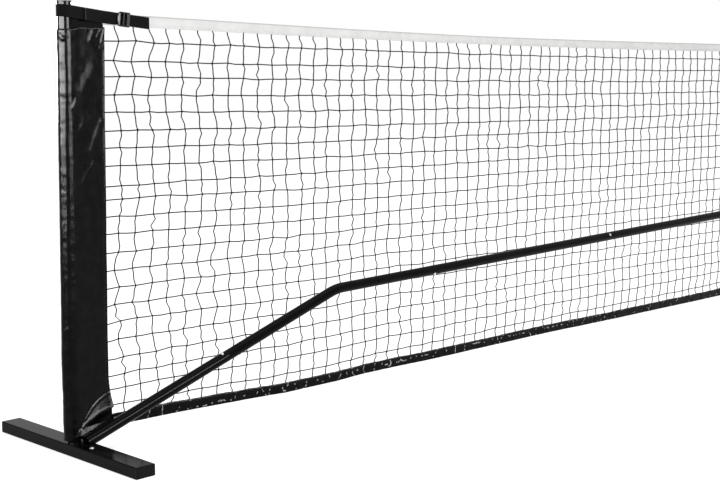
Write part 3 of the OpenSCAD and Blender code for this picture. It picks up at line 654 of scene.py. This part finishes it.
def pleat(reach, height, upper, lower, steep):  # leans out from one line to the other, then falls back
    fall, start = sleeve["pleatFall"], sleeve["pleatStart"]
    (upReach, upHeight), (lowReach, lowHeight) = zip(*upper), zip(*lower)
    high, low = np.interp(reach, upReach, upHeight), np.interp(reach, lowReach, lowHeight)
    lean = steep * np.clip(high - height, 0, np.maximum(high - low, 0))
    below = np.clip((height - low + fall) / fall, 0, 1)
    return lean * below * np.clip((reach - upReach[0] + start) / start, 0, 1)


def ridge(reach, height, line, width, tall):  # a raised line through several points
    parts = [crease(reach, height, (*first, *second, width, tall)) for first, second in zip(line, line[1:])]
    return np.max(parts, axis=0)


def smoothed(line, times):
    for _ in range(times):
        line[1:-1] = (line[:-2] + 2 * line[1:-1] + line[2:]) / 4
    return line


def buildSleeve():
    s = sleeve
    bore = s["bore"] + s["cloth"] / 2 + s["gap"]
    plan = smoothed(along(planPath(bore, s["seam"], s["half"], s["end"]), s["step"]), s["smoothing"])
    height = s["top"] - s["bottom"]
    share = np.concatenate([np.arange(0, s["cornerTop"], s["cornerRise"] / height),
                            np.linspace(s["cornerTop"], 1, int(height * (1 - s["cornerTop"]) / s["rise"]))])
    reach, y = [np.repeat(plan[None, :, axis], len(share), 0) for axis in range(2)]
    pull = np.clip((reach - s["pullFrom"]) / (s["end"] - s["pullFrom"]), 0, 1)
    bottom = s["bottom"] + s["bottomRise"] * np.clip(reach / s["riseReach"], 0, 1)
    top = s["top"] + (s["hemTop"] - s["top"]) * np.clip((reach - s["hemFrom"]) / s["hemReach"], 0, 1)
    z = bottom + (top - bottom) * share[:, None]
    nose = np.clip(-reach / s["noseReach"], 0, 1)
    reach = reach + pull * (np.interp(z, *zip(*s["edge"])) - s["end"])
    reach = reach - nose ** 2 * (3 - 2 * nose) * np.interp(z, *zip(*s["loose"]))
    grid = np.stack([reach - halfSpan, y, z], -1)
    layer = np.where(y < 0, 1, s["backShare"])  # folds are flatter at the back
    turn = np.linspace(0, len(plan) * s["step"], len(plan))[None] + 0 * z  # length of cloth so far
    normals = -gridNormals(grid)
    raised = 0
    for number, (tall, size, alongShare, upShare, sharpness) in enumerate(s["unevenness"]):
        level = smoothNoise(np.stack([turn * alongShare, 0 * y, z * upShare], -1), size, s["seed"] + number)
        raised = raised + tall * (0.5 + 0.5 * level) ** sharpness
    lower = np.clip((s["slackTop"] - z) / s["slackHeight"], 0, 1)
    raised = raised * (s["calm"] + s["slackMore"] * lower)
    raised = raised * (1 - s["flatness"] * np.clip(reach / s["pullFrom"], 0, 1))
    folds = ridge(reach, z, *s["softFold"])
    for fold in s["creases"]:
        folds = folds + crease(reach, z, fold)
    for upper, lowest, steep, proud in s["pleats"]:
        folds = folds + pleat(reach, z, upper, lowest, steep)
        folds = folds + ridge(reach, z, upper, s["ridge"], proud) + ridge(reach, z, lowest, s["ridge"], proud)
    raised = raised + folds * layer
    sway = s["sway"] * smoothNoise(np.stack([reach, 0 * y, z], -1), s["swaySize"], s["seed"] + 3)
    grid[..., :2] += normals[..., :2] * raised[..., None]
    grid[..., 1] += sway * pull
    piece = clothPiece("leftSleeve", grid, np.full(grid.shape[:2], s["cloth"]), sleeveCloth)

    # Two rows of stitching near the edge, front and back
    rows = []
    for outward, sheet in ((-1, grid), (1, grid[:, ::-1])):
        for column in s["seamColumns"]:
            line = sheet[2:-2, column]
            heights = np.arange(line[0, 2], line[-1, 2] - s["seamEnd"], s["stitch"] + s["stitchGap"])
            rows.append(stitchEnds(s, line, 2, outward, heights))
    starts, ends = zip(*rows)
    seam = stitches("leftSleeveStitches", np.concatenate(starts), np.concatenate(ends), blackThread)
    return piece, seam


leftSleeve, leftSeam = buildSleeve()
rightSleeve, rightSeam = mirrorPiece(leftSleeve, "rightSleeve"), mirrorPiece(leftSeam, "rightSleeveStitches")
print("sleeves made")


strap = {"width": 25, "web": 1.5, "slope": 5.9, "sag": 2.9, "reach": 212, "bore": 14.65, "seam": 92,
         "half": 2.3, "step": 1.5, "cockle": 0.125, "cockleSize": 14, "seed": 3,
         # the tail: where it starts and ends, its drop, and its turned-up start, along and out
         "tailStart": 41, "tailEnd": 124, "tailDrop": 1.2, "tailCockle": 0.15, "layerGap": 0.3,
         "tailFold": [(0, 0.2), (0.8, -1.3), (4, -1.1), (9, -0.2)],
         "tack": (1.0, 3.6), "tackOut": 1.2, "tackStep": 0.8}


def strapLine(reach):  # height of the strap's middle line
    s = strap
    start = topEdge(halfSpan - s["reach"]) - netLine["topTape"] / 2 - s["sag"]
    return start + (s["reach"] - reach) * math.tan(math.radians(s["slope"]))


def webbingStrip(name, plan, cockle, drop=0):
    s = strap
    across = np.array([-1, -0.985, -0.93, -0.8, -0.5, 0, 0.5, 0.8, 0.93, 0.985, 1]) * s["width"] / 2
    thick = np.array([0.25, 0.6, 0.85, 1, 1, 1, 1, 1, 0.85, 0.6, 0.25]) * s["web"]  # thin selvedges
    plan = along(plan, s["step"])
    reach, y = [plan[:, axis][:, None] + 0 * across for axis in range(2)]
    grid = np.stack([reach - halfSpan, y, strapLine(reach) - drop + across], -1)
    level = smoothNoise(grid * [1, 1, 0.3], s["cockleSize"], s["seed"])
    grid[..., 1] += cockle * level * np.where(y < 0, 1, -1)
    return clothPiece(name, grid, np.repeat(thick[None], len(plan), 0), webbing)


sleeveTab = {"near": 14.4, "far": 94.6, "low": 877, "tuck": 4, "cloth": 0.9, "sewnAt": 84, "columns": 41,
             "rows": 14, "sway": 0.6, "swaySize": 14, "swayReach": 20, "seed": 21}


def buildTab():  # an inner layer, sewn in at the sleeve's edge, goes on up behind the strap
    s = sleeveTab
    reach = np.linspace(s["near"], s["far"], s["columns"])[None] + np.zeros((s["rows"], 1))
    top = strapLine(reach) - strap["width"] / 2 + s["tuck"]
    z = s["low"] + (top - s["low"]) * np.linspace(0, 1, s["rows"])[:, None]
    grid = np.stack([reach - halfSpan, 0 * z, z], -1)
    free = np.clip((s["sewnAt"] - reach) / s["swayReach"], 0, 1)
    grid[..., 1] += s["sway"] * smoothNoise(grid * [0.5, 0, 1], s["swaySize"], s["seed"]) * free
    return clothPiece("leftSleeveTab", grid, np.full(z.shape, s["cloth"]), liningCloth)


def buildStraps():
    s = strap
    loop = planPath(s["bore"] + s["web"] / 2, s["seam"], s["half"], s["reach"])
    body = webbingStrip("leftStrap", loop, s["cockle"])

    # The tail lies on the loop's front, which runs straight from the upright's side to the seam
    outer, outerR = s["half"] + s["web"] / 2, s["bore"] + s["web"]
    a = math.atan2(outer, s["seam"]) + math.acos(outerR / math.hypot(s["seam"], outer))
    tilt = (outerR * math.sin(a) - outer) / (s["seam"] - outerR * math.cos(a))
    near = -outer - s["web"] / 2 - s["layerGap"]
    far = near - (s["seam"] - s["tailStart"]) * tilt
    plan = [(s["tailStart"] + reach, far + out) for reach, out in s["tailFold"]]
    plan += [(s["seam"], near), (s["tailEnd"], near)]
    tail = webbingStrip("leftStrapTail", plan, s["tailCockle"], s["tailDrop"])
    across = np.arange(2 - s["width"] / 2, s["width"] / 2 - 1, s["tackStep"])
    tack = []
    for reach in (s["tailStart"] + place for place in s["tack"]):
        heights = strapLine(reach) - s["tailDrop"] + across
        out = far - s["tackOut"] - s["web"] / 2
        tack.append(np.stack([reach - halfSpan + 0 * across, out + 0 * across, heights], -1))
    return body, tail, stitches("leftTailTack", *tack, tackThread)


leftTab = buildTab()
rightTab = mirrorPiece(leftTab, "rightSleeveTab")
leftStrap, leftTail, leftTack = buildStraps()
rightStrap, rightTail = mirrorPiece(leftStrap, "rightStrap"), mirrorPiece(leftTail, "rightStrapTail")
rightTack = mirrorPiece(leftTack, "rightTailTack")
print("straps made")


buckle = {"reach": 126, "length": 34, "width": 31, "thick": 4, "y": 5.4, "lip": 7, "slot": 6, "slots": 2,
          "bar": 4, "land": 2, "edge": 0.9, "corner": 1, "slotCorner": 1.2, "curl": 2.2, "curlReach": 10}


def closedSpline(curve, points):
    spline = curve.splines.new("POLY")
    spline.points.add(len(points) - 1)
    for place, (x, y) in zip(spline.points, points):
        place.co = (x * mm, y * mm, 0, 1)
    spline.use_cyclic_u = True


def roundedBox(x0, x1, y0, y1, r):
    corners = [(x1 - r, y1 - r, 0), (x0 + r, y1 - r, 90), (x0 + r, y0 + r, 180), (x1 - r, y0 + r, 270)]
    return [(cx + r * math.cos(math.radians(turn + a)), cy + r * math.sin(math.radians(turn + a)))
            for cx, cy, turn in corners for a in range(0, 91, 15)]


def buildBuckle():
    b = buckle
    e, thickHalf = b["edge"], b["thick"] / 2
    curve = bpy.data.curves.new("leftBuckle", "CURVE")
    curve.dimensions = "2D"
    curve.fill_mode = "BOTH"
    curve.extrude = (thickHalf - e) * mm
    curve.bevel_depth = e * mm
    curve.bevel_resolution = 3
    half, end, corner = b["width"] / 2 - e, b["length"] - e, b["corner"]
    lipEnd = b["lip"] + b["land"]
    lip = [(b["lip"] * (1 - math.cos(math.radians(a))) + e, (half - corner) * math.sin(math.radians(a)))
           for a in range(80, -81, -8)]
    closedSpline(curve, [(end - corner, -half), (end, corner - half), (end, half - corner),
                         (end - corner, half), (lipEnd, half)] + lip + [(lipEnd, -half)])
    for k in range(b["slots"]):
        x0 = lipEnd + k * (b["slot"] + b["bar"])
        closedSpline(curve, roundedBox(x0 - e, x0 + b["slot"] + e, b["land"] - half, half - b["land"],
                                       b["slotCorner"])[::-1])
    holder = bpy.data.objects.new("buckleCurve", curve)
    bpy.context.collection.objects.link(holder)
    mesh = bpy.data.meshes.new_from_object(holder.evaluated_get(bpy.context.evaluated_depsgraph_get()))
    bpy.data.objects.remove(holder)
    x, across, out = (np.array([vertex.co for vertex in mesh.vertices]) / mm).T
    beyond = np.clip(x - (b["length"] - thickHalf), 0, thickHalf)  # the far bar is round: it turns there
    barHalf = np.sqrt(np.maximum(thickHalf ** 2 - beyond ** 2, 0))
    out = np.clip(out, -barHalf, barHalf)
    lift = b["curl"] * np.clip(1 - x / b["curlReach"], 0, 1) ** 2  # the lip curls off the webbing
    slope, reach = math.radians(strap["slope"]), b["reach"] + x
    placed = np.stack([reach * math.cos(slope) + across * math.sin(slope) - halfSpan, -b["y"] - out - lift,
                       strapLine(0) - reach * math.sin(slope) + across * math.cos(slope)], -1)
    mesh.vertices.foreach_set("co", (placed * mm).ravel())
    mesh.materials.clear()
    mesh.materials.append(buckleAcetal)
    mesh.update()
    piece = bpy.data.objects.new("leftBuckle", mesh)
    bpy.context.collection.objects.link(piece)
    return piece


leftBuckle = buildBuckle()
rightBuckle = mirrorPiece(leftBuckle, "rightBuckle")
print("buckles made")


def bendSprings():
    for joint in frame["joints"]:
        if "_button_" in joint["name"]:
            side, _, letter = joint["name"].split("_")[:3]
            node = frame["nodes"][side + "_spring_" + letter]
            piece = bpy.data.objects.new(side + "Spring" + letter.upper(), node.data.copy())
            bpy.context.collection.objects.link(piece)
            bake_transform(piece)
            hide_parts(node.name)


bendSprings()
print("springs made")

for side, sleevePiece, seamPiece, tabPiece, strapPiece, tailPiece, tackPiece, bucklePiece in (
        ("left", leftSleeve, leftSeam, leftTab, leftStrap, leftTail, leftTack, leftBuckle),
        ("right", rightSleeve, rightSeam, rightTab, rightStrap, rightTail, rightTack, rightBuckle)):
    for piece in (sleevePiece, seamPiece, tabPiece, strapPiece, tailPiece, tackPiece):
        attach(piece, "net")
    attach(bucklePiece, side + "_buckle_body")
    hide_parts(side + "_sleeve")
    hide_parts(side + "_strap")
    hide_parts(side + "_buckle")


studio = {"floor": 60, "floorColour": "#ececec", "floorLift": 0.58, "ambient": 0.5,
          # name, azimuth round the left upright, distance, middle's height, width, height, radiance
          "lights": [("glossPanelA", 190, 6.0, 1.15, 10.8, 1.2, 135),
                     ("glossPanelB", 294, 6.0, 1.15, 4.1, 1.2, 70),
                     ("glossPanelC", 304, 12.0, 5.2, 14.5, 2.4, 36),
                     ("glossPanelD", 332, 6.0, 1.0, 3.2, 1.2, 30),
                     ("glossPanelE", 62, 6.0, 1.1, 3.6, 1.3, 60),
                     ("fill", 250, 4.0, 2.2, 3.0, 3.0, 2.2)],
          "top": (7.0, 9.0, 6.0, 1.2), "topPlace": (-1.0, -1.0),  # height, width, length, radiance
          "glossPosts": ["left_upright", "right_upright", "left_upright_cap", "right_upright_cap"],
          "glossArms": ["left_base_arm", "right_base_arm"]}


def backdropLevel(tree, plain, shown):  # what the camera, glossy and see-through rays are shown
    rays = addNode(tree, "ShaderNodeLightPath", {}, {})
    direct = addNode(tree, "ShaderNodeMath", {"operation": "MAXIMUM"},
                     {0: rays.outputs["Is Camera Ray"], 1: rays.outputs["Is Glossy Ray"]})
    either = addNode(tree, "ShaderNodeMath", {"operation": "MAXIMUM"},
                     {0: direct.outputs[0], 1: rays.outputs["Is Transmission Ray"]})
    level = addNode(tree, "ShaderNodeMapRange", {}, {
        "Value": either.outputs[0], "To Min": plain, "To Max": shown})
    return level.outputs["Result"]


def buildStudio():
    s = studio
    world = bpy.data.worlds.new("studio")
    bpy.context.scene.world = world
    world.use_nodes = True
    tree = world.node_tree
    tree.nodes.clear()
    shine = addNode(tree, "ShaderNodeBackground", {}, {
        "Color": (1, 1, 1, 1), "Strength": backdropLevel(tree, s["ambient"], 1.0)})
    addNode(tree, "ShaderNodeOutputWorld", {}, {"Surface": shine.outputs[0]})

    material, tree, _ = startMaterial("paperFloor")
    paper = addNode(tree, "ShaderNodeBsdfDiffuse", {}, {"Color": linear(s["floorColour"])})
    glow = addNode(tree, "ShaderNodeEmission", {}, {"Strength": backdropLevel(tree, 0.0, s["floorLift"])})
    both = addNode(tree, "ShaderNodeAddShader", {}, {0: paper.outputs[0], 1: glow.outputs[0]})
    addNode(tree, "ShaderNodeOutputMaterial", {}, {"Surface": both.outputs[0]})
    half = s["floor"] / mm / 2
    floor = makePiece("floor", [(-half, -half, 0), (half, -half, 0), (half, half, 0), (-half, half, 0)],
                      [(0, 1, 2, 3)], material)

    # What each gloss panel shines on
    posts = [frame["nodes"][name] for name in s["glossPosts"]]
    arms = [frame["nodes"][name] for name in s["glossArms"]]
    sleeves = [leftSleeve, rightSleeve]
    coated = posts + sleeves + [bottomTapePiece]
    shinyPieces = {"glossPanelA": coated, "glossPanelB": coated, "glossPanelC": coated + arms,
                   "glossPanelD": [leftBuckle, rightBuckle], "glossPanelE": posts + sleeves}

    def softLight(name, place, target, width, tall, radiance):
        lamp = bpy.data.lights.new(name, "AREA")
        lamp.shape = "RECTANGLE"
        lamp.size, lamp.size_y, lamp.energy = width, tall, radiance * math.pi * width * tall
        holder = bpy.data.objects.new(name, lamp)
        holder.location = place
        holder.rotation_euler = (Vector(target) - Vector(place)).to_track_quat("-Z", "Y").to_euler()
        holder.visible_camera = False
        if name.startswith("gloss"):  # these only give the coated pieces their shine
            holder.visible_diffuse = False
            receivers = bpy.data.collections.new(name + "Receivers")
            for piece in shinyPieces[name]:
                receivers.objects.link(piece)
            holder.light_linking.receiver_collection = receivers
        bpy.context.collection.objects.link(holder)

    postX = -halfSpan * mm
    for name, turn, far, middle, width, tall, radiance in s["lights"]:
        a = math.radians(turn)
        place = (postX + far * math.cos(a), far * math.sin(a), middle)
        softLight(name, place, (postX, 0, min(middle, 1)), width, tall, radiance)
    high, width, tall, radiance = s["top"]
    softLight("topLight", (*s["topPlace"], high), (*s["topPlace"], 0), width, tall, radiance)


cameraSet = {"place": (-4.998706, -2.463369, 0.856674), "turn": (82.14344, -0.22124, -45.45954),
             "lens": 70.5208, "sensor": 36}


def buildCamera():
    c = cameraSet
    lens = bpy.data.cameras.new("camera")
    lens.lens, lens.sensor_width, lens.sensor_fit = c["lens"], c["sensor"], "HORIZONTAL"
    lens.clip_end = 200
    holder = bpy.data.objects.new("camera", lens)
    holder.location = c["place"]
    holder.rotation_euler = [math.radians(a) for a in c["turn"]]
    bpy.context.collection.objects.link(holder)
    bpy.context.scene.camera = holder


buildStudio()
buildCamera()
bpy.context.scene.view_settings.view_transform = "Standard"
print("studio made")
